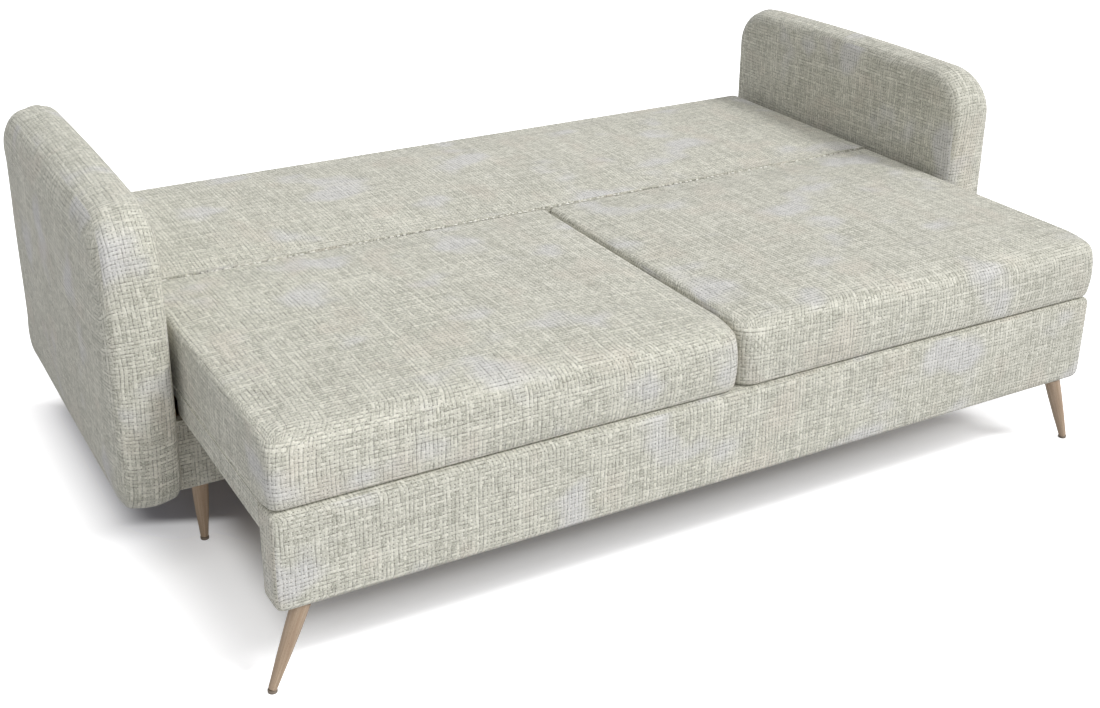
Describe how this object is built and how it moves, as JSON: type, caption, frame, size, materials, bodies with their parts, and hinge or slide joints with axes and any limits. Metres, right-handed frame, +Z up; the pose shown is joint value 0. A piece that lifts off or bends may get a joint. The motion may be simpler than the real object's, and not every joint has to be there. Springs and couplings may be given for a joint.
{
  "type": "sofa bed",
  "caption": "Sofa bed shown open: seat swung forward on bent links, click-clack back lying flat between padded arms, on splayed wooden legs.",
  "frame": {"origin": "middle of the floor area of the open bed, on the floor", "axes": "+X along the width to the right, +Y to the rear, +Z up"},
  "size_m": [2.206, 1.368, 0.75],
  "materials": {
    "upholstery": "coarse linen-look weave",
    "lining": "black spunbond lining",
    "frame_board": "plain sawn board and plywood",
    "leg_wood": "clear matt lacquer on beech",
    "glide": "moulded",
    "mechanism_steel": "black powder coat, semi-matt",
    "fastener": "zinc plated"
  },
  "bodies": {
    "base": {"base_front_cover": "upholstery", "base_rear_cover": "upholstery", "arm_pad_left": "upholstery", "arm_pad_right": "upholstery", "base_floor": "frame_board", "base_front_rail": "frame_board", "base_rear_rail": "frame_board", "box_divider": "frame_board", "arm_rail_left": "frame_board", "arm_rail_right": "frame_board", "box_wall_left": "frame_board", "box_wall_right": "frame_board", "arm_core_left": "frame_board", "arm_core_right": "frame_board", "base_front_left_leg": "leg_wood", "base_front_right_leg": "leg_wood", "base_rear_left_leg": "leg_wood", "base_rear_right_leg": "leg_wood", "base_front_left_glide": "glide", "base_front_right_glide": "glide", "base_rear_left_glide": "glide", "base_rear_right_glide": "glide", "base_pivot_rail_left": "mechanism_steel", "base_pivot_rail_right": "mechanism_steel", "arm_bolt_front_left": "fastener", "arm_bolt_front_right": "fastener", "arm_bolt_rear_left": "fastener", "arm_bolt_rear_right": "fastener"},
    "front_swing": {"front_swing_frame": "mechanism_steel"},
    "rear_swing": {"rear_swing_frame": "mechanism_steel"},
    "seat": {"seat_deck": "upholstery", "seat_front_rail": "frame_board", "seat_rear_rail": "frame_board", "seat_centre_rail": "frame_board", "apron_core": "frame_board", "apron_cover": "upholstery", "seat_side_rail_left": "frame_board", "seat_side_rail_right": "frame_board", "seat_cushion_left": "upholstery", "seat_cushion_right": "upholstery", "seat_pivot_rail_left": "mechanism_steel", "seat_pivot_rail_right": "mechanism_steel", "seat_hinge_plate_left": "mechanism_steel", "seat_hinge_plate_right": "mechanism_steel", "pivot_pin_front_left": "fastener", "pivot_pin_front_right": "fastener", "pivot_pin_rear_left": "fastener", "pivot_pin_rear_right": "fastener", "seat_left_leg": "leg_wood", "seat_left_glide": "glide", "seat_right_leg": "leg_wood", "seat_right_glide": "glide"},
    "back": {"back_board": "frame_board", "back_pad": "upholstery", "back_dust_cover": "lining", "back_hinge_plate_left": "mechanism_steel", "back_hinge_plate_right": "mechanism_steel"},
    "pawl_left": {"hinge_pawl_left": "fastener"},
    "pawl_right": {"hinge_pawl_right": "fastener"}
  },
  "joints": [
    {"name": "rear_link_swing", "type": "hinge", "parent": "base", "child": "rear_swing", "pos_m": [0, 0.2835, 0.265], "axis": [-1, 0, 0], "range_deg": [0, 152]},
    {"name": "front_link_swing", "type": "hinge", "parent": "base", "child": "front_swing", "pos_m": [0, -0.058, 0.265], "axis": [-1, 0, 0], "range_deg": [0, 152]},
    {"name": "seat_level", "type": "hinge", "parent": "rear_swing", "child": "seat", "pos_m": [0, 0.041, 0.32546], "axis": [1, 0, 0], "range_deg": [0, 152]},
    {"name": "back_recline", "type": "hinge", "parent": "seat", "child": "back", "pos_m": [0, 0.125, 0.488], "axis": [1, 0, 0], "range_deg": [0, 78]},
    {"name": "pawl_left_turn", "type": "hinge", "parent": "seat", "child": "pawl_left", "pos_m": [-0.9668, 0.104, 0.434], "axis": [1, 0, 0], "range_deg": [0, 14]},
    {"name": "pawl_right_turn", "type": "hinge", "parent": "seat", "child": "pawl_right", "pos_m": [0.9668, 0.104, 0.434], "axis": [1, 0, 0], "range_deg": [0, 14]}
  ],
  "couplings": [
    {"joint": "front_link_swing", "follows": "rear_link_swing", "ratio": 1},
    {"joint": "seat_level", "follows": "rear_link_swing", "ratio": 1}
  ]
}
